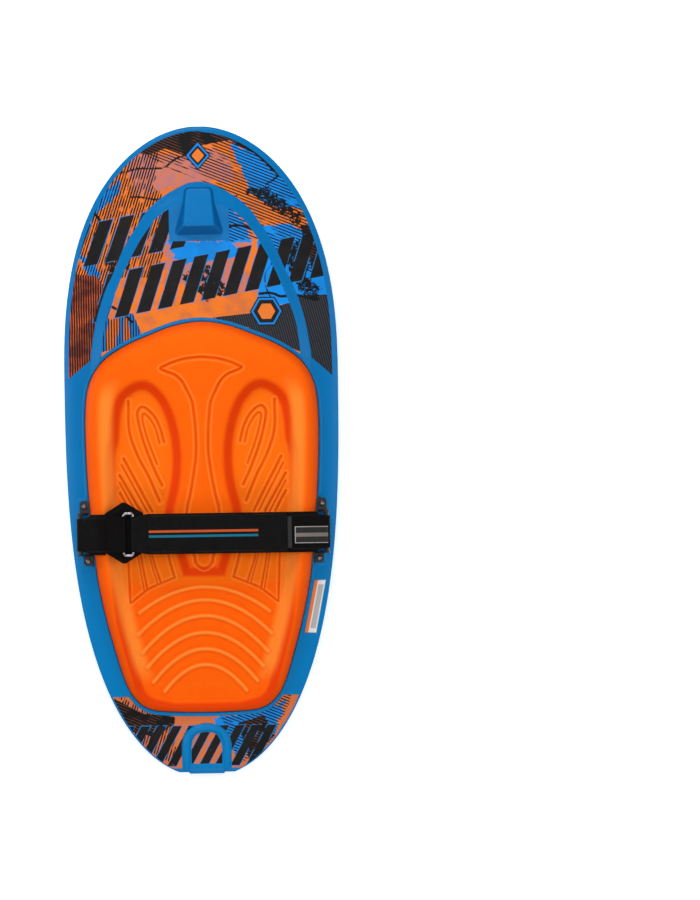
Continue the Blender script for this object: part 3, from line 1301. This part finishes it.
# The left piece mirrors the bar wrap, then turns up round the ring and back over itself
RING_TURN = 128
ring_wrap = arc(RING_LEFT_X, RING_Z, ROD_WRAP, -90, RING_TURN, 34)
LEFT_WEB_PATH = fillet_path(np.vstack([
    (MAIN_WEB_PATH[1:] * [-1, 1])[::-1], [(-153.5, WEB_Z)], ring_wrap,
    ring_wrap[-1] + heading(RING_TURN + 90) * 3.0,
    [(-166.0, WEB_Z + WEB + 0.35), (-184.0, WEB_Z + WEB + 0.3)]]), 0.6, 2)

# ---------------------------------------------------------------- strap pieces
# Spacing along the path, points round each edge, points across the middle
LAID = dict(step=1.8, corner=7, middle=44)
WRAPPED = dict(step=1.2, corner=6, middle=40)


def cloth_band(name, path, low, high, width, material, body, part, slot, edge_radius=0.8,
               end_radius=0.8, width_factor=None, wave=0.0, seed=0, center_y=STRAP_Y,
               sampling=LAID):
    """Band from low to high above a path, spread across y, with rounded edges and ends.

    An end_radius of None leaves the ends square.
    """
    path = dense(path, sampling["step"])
    normal = path_normals(path)
    length = arc_length(path)
    half = width / 2
    angle = np.linspace(0, np.pi / 2, sampling["corner"])
    edge = half - edge_radius + edge_radius * np.sin(angle)
    middle = np.linspace(-(half - edge_radius), half - edge_radius, sampling["middle"])
    across = np.concatenate([-edge[::-1][:-1], middle, edge[1:]])
    full = np.concatenate([np.cos(angle)[::-1][:-1], np.ones(len(middle)),
                           np.cos(angle)[1:]])[None]
    ends = np.ones_like(length)
    if end_radius is not None:
        for distance in (length, length[-1] - length):
            ends = ends * np.sqrt(1 - (1 - np.clip(distance / end_radius, 0, 1)) ** 2)
        ends = np.maximum(ends, 0.05)
    s, v = np.meshgrid(length, across, indexing="ij")
    phase = np.random.default_rng(seed).uniform(0, 6.28, 6)
    ripple = wave * full * (np.sin(s / 31 + phase[0]) * np.cos(v / 17 + phase[1])
                            + 0.6 * np.sin(s / 13 + v / 23 + phase[2])
                            + 0.3 * np.sin(s / 7.5 - v / 9 + phase[3]))
    thickness = (high - low) / 2 * full * ends[:, None]
    factor = np.ones_like(length) if width_factor is None else width_factor(path[:, 0])
    y = center_y + v * factor[:, None]

    def face(lift):
        return np.dstack([path[:, :1] + normal[:, :1] * lift, y,
                          path[:, 1:] + normal[:, 1:] * lift])

    top = face((high + low) / 2 + thickness + ripple)
    bottom = face((high + low) / 2 - thickness + ripple * 0.6)
    rings = np.concatenate([top, bottom[:, ::-1][:, 1:-1]], 1)
    rows, columns = rings.shape[:2]
    around = np.concatenate([across, across[::-1][1:-1]]) + half
    attrs = {"pu": np.repeat(length[:, None], columns, 1),
             "pv": np.repeat(around[None], rows, 0)}
    return capped_rings(name, rings, material, body, attrs=attrs, slot=slot, replaces=(part,))


def build_webbing():
    for name, path, body, part in (
            ("main_webbing", MAIN_WEB_PATH, "main_strap", "main_strap_webbing"),
            ("left_webbing", LEFT_WEB_PATH, "left_strap", "left_strap_webbing")):
        cloth_band(name, path, -WEB / 2, WEB / 2, WEB_WIDTH, WEBBING, body, part,
                   "webbing_black", end_radius=None, width_factor=taper, sampling=WRAPPED)


def build_sleeves():
    """Padded sleeves under the webbing."""
    top, thickness = -WEB / 2 - 0.1, 4.0
    for name, path, body, part, wave, seed in (
            ("main_sleeve", clip_x(MAIN_PATH, -108, 220), "main_strap", "main_strap_pad",
             0.25, 3),
            ("left_sleeve", clip_x(LEFT_PATH, -220, -186), "left_strap", "left_strap_pad",
             0.2, 4)):
        cloth_band(name, path, top - thickness, top, 77.2, NEOPRENE, body, part,
                   "neoprene_black", edge_radius=2.0, end_radius=2.5, width_factor=taper,
                   wave=wave, seed=seed)


def build_guard_flap():
    """Flap under the ring: a diamond cut off at its sides, with a stitched-down border."""
    center = np.array([-151.0, STRAP_Y + 3])
    half_x, tip, half_y = 37, 3, 58.0
    side_y = half_y - 21
    top, bottom = 93.9, 91.0
    corners = np.array([(-half_x, -side_y), (-half_x, side_y), (-tip, half_y), (tip, half_y),
                        (half_x, side_y), (half_x, -side_y), (tip, -half_y), (-tip, -half_y)])
    outline = resample(corners + center, 260)
    radius = np.hypot(*(outline - center).T)
    # (in from the edge, height)
    profile = [(0.0, bottom + 0.5), (0.0, bottom + 1.4), (0.25, bottom + 2.1),
               (0.8, top - 0.35), (1.8, top), (3.4, top - 0.1), (4.4, top - 0.55),
               (5.4, top - 0.1), (9, top), (16, top + 0.1), (30, top + 0.1), (50, top + 0.1)]
    rings = []
    for inset, z in profile:
        scale = np.clip(1 - inset / radius, 0.02, 1)[:, None]
        ring = center + (outline - center) * scale
        rings.append(np.column_stack([ring, np.full(len(ring), z)]))
    rings = np.array(rings)
    capped_rings("guard_flap", rings, NEOPRENE, "left_strap", slot="neoprene_black",
                 attrs={"pu": rings[..., 0], "pv": rings[..., 1]}, replaces=("ring_guard",))


# Layers stacked on the main webbing
LOOP_BOTTOM, LOOP_THICKNESS, HOOK_THICKNESS, TAPE_WIDTH = WEB / 2 + 0.05, 1.5, 1.0, 60
HOOK_Z = WEB_Z + LOOP_BOTTOM + LOOP_THICKNESS + 0.1
FREE_Z = HOOK_Z + HOOK_THICKNESS + 0.05         # underside of the free end
FREE_MIDDLE = FREE_Z + WEB / 2


def build_fastening():
    """Loop tape on the webbing, hook tape on it, and the free end of the strap on top."""
    cloth_band("loop_tape", clip_x(MAIN_PATH, -100, 168), LOOP_BOTTOM,
               LOOP_BOTTOM + LOOP_THICKNESS, TAPE_WIDTH, FASTENER, "main_strap",
               "loop_fastener", "loop_black", edge_radius=0.5)
    cloth_band("hook_tape", np.array([(-92, HOOK_Z), (150, HOOK_Z)]), 0.0, HOOK_THICKNESS,
               TAPE_WIDTH, FASTENER, "tail", "hook_fastener", "hook_black", edge_radius=0.4)
    cloth_band("tail_cloth", np.array([(-109.2, FREE_MIDDLE), (160.0, FREE_MIDDLE)]), -WEB / 2,
               WEB / 2 + 0.6, 75.5, STRAP_PRINT, "tail", "strap_tail", "webbing_black",
               edge_radius=1.1, end_radius=1.0, wave=0.22, seed=9)


def build_fold():
    """Cloth from the webbing round the right rod of the ring to the free end."""
    over = RING_Z + ROD_WRAP
    path = np.vstack([
        [(-130.2, WEB_Z)], arc(RING_RIGHT_X, RING_Z, ROD_WRAP, -90, -270, 21),
        [(-129.0, over - 0.05), (-124.0, over - 0.4),
         (-118.0, 0.5 * (over + FREE_MIDDLE) - 0.1), (-113.0, FREE_MIDDLE + 0.3),
         (-108.4, FREE_MIDDLE)]])
    fold = cloth_band("strap_fold_cloth", catmull(path, 4)[::-1], -WEB / 2, WEB / 2, 68,
                      STRAP_PRINT, None, "strap_fold", "webbing_black", edge_radius=0.9,
                      end_radius=None, sampling=WRAPPED,
                      width_factor=lambda x: 1.0 + 0.10 * smooth((x + 127) / 16.0))
    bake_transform(fold)


def build_label():
    cloth_band("label_cloth", clip_x(MAIN_PATH, 173, 236), WEB / 2 + 0.1, WEB / 2 + 0.75, 32,
               LABEL, "main_strap", "strap_label", "label_strap", edge_radius=0.3,
               end_radius=0.4, center_y=STRAP_Y - 5.5)


def build_stitches(name, path, lift, row_offset, body, width_factor=None):
    """Two rows of short thread dashes, row_offset either side of the strap's middle."""
    pitch, dash, radius = 4.2, 2.6, 0.34
    # (place along the dash, share of the radius)
    profile = [(-0.5, 0.25), (-0.38, 0.9), (0.0, 1.0), (0.38, 0.9), (0.5, 0.25)]
    sides = 6
    path = dense(path, 0.6)
    length = arc_length(path)
    factor = np.ones_like(length) if width_factor is None else width_factor(path[:, 0])
    columns = np.column_stack([path, path_normals(path), factor]).T
    dash_faces = np.array(grid_faces(len(profile), sides, wrap=True))
    angles = np.linspace(0, 2 * np.pi, sides, endpoint=False)
    verts, faces = [], []
    for row in (-row_offset, row_offset):
        at = pitch / 2
        while at < length[-1] - pitch / 2:
            x, z, normal_x, normal_z, scale = (np.interp(at, length, c) for c in columns)
            faces += (dash_faces + len(verts)).tolist()
            for place, share in profile:
                for angle in angles:
                    along = place * dash
                    up = lift + radius * share * math.sin(angle) - 0.05
                    verts.append((x + normal_z * along + normal_x * up,
                                  STRAP_Y + row * scale + radius * share * math.cos(angle),
                                  z - normal_x * along + normal_z * up))
            at += pitch
    mesh_object(name, verts, faces, THREAD, body)


build_webbing()
build_sleeves()
build_guard_flap()
build_fastening()
build_fold()
build_label()
build_stitches("stitch_main", clip_x(MAIN_PATH, 164, 226), WEB / 2, 32, "main_strap", taper)
free_top = clip_x(MAIN_PATH, -104, 156) + [0, FREE_Z + WEB - WEB_Z + 0.6]
build_stitches("stitch_tail", free_top, 0.0, 34.2, "tail")
build_stitches("stitch_left", clip_x(LEFT_PATH, -226, -168), WEB / 2, 32, "left_strap",
               taper)


# ---------------------------------------------------------------- hard parts
def finish_hard_parts():
    """These keep their loaded meshes and only get a material and softer edges."""
    for name, material in (
            ("strap_bracket_left", BLACK), ("strap_bracket_right", BLACK),
            ("bracket_screws_left", SCREW), ("bracket_screws_right", SCREW),
            ("bracket_washers", BLACK), ("buckle_ring", STEEL), ("fill_plug", BLACK),
            ("threaded_inserts", BRASS), ("foam_core", FOAM)):
        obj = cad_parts[name]
        obj.data.materials.clear()
        obj.data.materials.append(material)
        if name.startswith("strap_bracket"):
            bevel = obj.modifiers.new("bev", "BEVEL")
            bevel.width = 0.7 * MM
            bevel.segments = 3
            bevel.limit_method = "ANGLE"
            bevel.angle_limit = math.radians(30)
        if name == "buckle_ring":
            obj.data.polygons.foreach_set("use_smooth", [True] * len(obj.data.polygons))


finish_hard_parts()


# ---------------------------------------------------------------- floor, light, camera
def floor_material():
    """Pale glowing floor seen only by the camera, from above, so no light bounces off it."""
    m = Material("floor_pale")
    color = m.mix(m.noise(size=300).step(zero=0.3, one=0.7) * 0.25,
                  (0.97, 0.97, 0.97, 1), (0.95, 0.95, 0.95, 1))
    m.finish(color, rough=0.9, spec=0.0)
    camera_ray = m.node("ShaderNodeLightPath", output="Is Camera Ray")
    far = (m.x * m.x + m.y * m.y).step(zero=1.2e6, one=9.0e6)
    feed(m.tree, m.shader, {"Emission Color": (1.0, 1.0, 1.0, 1),
                            "Emission Strength": far * camera_ray * 0.6 + 0.42})
    below = m.node("ShaderNodeNewGeometry", output="Backfacing")
    surface = m.node("ShaderNodeMixShader", {
        0: below.max(camera_ray.inv()), 1: Value(m.tree, m.shader.outputs[0]),
        2: m.node("ShaderNodeBsdfTransparent")})
    feed(m.tree, m.tree.nodes["Material Output"], {0: surface})
    return m.material


def build_floor():
    half, z = 6, -0.0005
    mesh = bpy.data.meshes.new("floor")
    mesh.from_pydata([(-half, -half, z), (half, -half, z), (half, half, z), (-half, half, z)],
                     [], [(0, 1, 2, 3)])
    floor = bpy.data.objects.new("floor", mesh)
    bpy.context.scene.collection.objects.link(floor)
    mesh.materials.append(floor_material())


def area_light(name, location, target, size, power):
    light = bpy.data.lights.new(name, "AREA")
    light.shape = "RECTANGLE"
    light.size, light.size_y = size
    light.energy = power
    obj = bpy.data.objects.new(name, light)
    bpy.context.scene.collection.objects.link(obj)
    obj.location = location
    aim = Vector(target) - Vector(location)
    obj.rotation_euler = aim.to_track_quat("-Z", "Y").to_euler()


# Name, location, target, size, power in watts
LIGHTS = [
    ("overhead", (-0.15, 0.25, 3.1), (0, 0, 0), (0.5, 2.4), 15),
    ("front_strip", (-0.35, 2.3, 1.4), (0, 0.1, 0), (1.8, 0.8), 34),
    ("side_left", (-2.3, 0.1, 1.25), (0, 0, 0), (0.7, 2.4), 21),
    ("side_right", (2.3, 0.1, 1.25), (0, 0, 0), (0.7, 2.4), 17),
    ("rear_soft", (0.3, -2.3, 1.5), (0, -0.3, 0), (2.4, 0.9), 20),
    ("under_left", (-1.6, 0.6, -1.3), (0, 0, 0), (0.4, 1.8), 46),
    ("under_right", (1.6, -0.3, -1.6), (0, 0, 0), (1.0, 1.8), 26),
]


def build_world():
    """White to the camera, a dimmer white as a light."""
    white, lit_strength, seen_strength = (1.0, 1.0, 1.0, 1), 0.30, 1.0
    world = bpy.data.worlds.new("studio")
    world.use_nodes = True
    tree = world.node_tree
    lit = tree.nodes["Background"]
    feed(tree, lit, {0: white, 1: lit_strength})
    mixed = add_node(tree, "ShaderNodeMixShader", {
        0: add_node(tree, "ShaderNodeLightPath", output="Is Camera Ray"),
        1: Value(tree, lit.outputs[0]),
        2: add_node(tree, "ShaderNodeBackground", {0: white, 1: seen_strength})})
    feed(tree, tree.nodes["World Output"], {0: mixed})
    bpy.context.scene.world = world


def build_camera():
    """Straight above; the board sits left of centre with its nose leaning slightly left."""
    view_width, shift_right, height = 1.7109737, 0.28088485, 3.0
    turn = 0.015300197                          # radians, clockwise from above
    camera = bpy.data.cameras.new("cam")
    camera.type = "ORTHO"
    camera.ortho_scale = view_width
    camera.clip_end = 20
    obj = bpy.data.objects.new("cam", camera)
    bpy.context.scene.collection.objects.link(obj)
    right = Vector((math.cos(turn), -math.sin(turn), 0))
    obj.location = right * shift_right + Vector((0, 0, height))
    obj.rotation_euler = (0, 0, -turn)
    bpy.context.scene.camera = obj


build_floor()
for light_row in LIGHTS:
    area_light(*light_row)
build_world()
bpy.context.scene.view_settings.view_transform = "Standard"
bpy.context.scene.view_settings.look = "None"
build_camera()
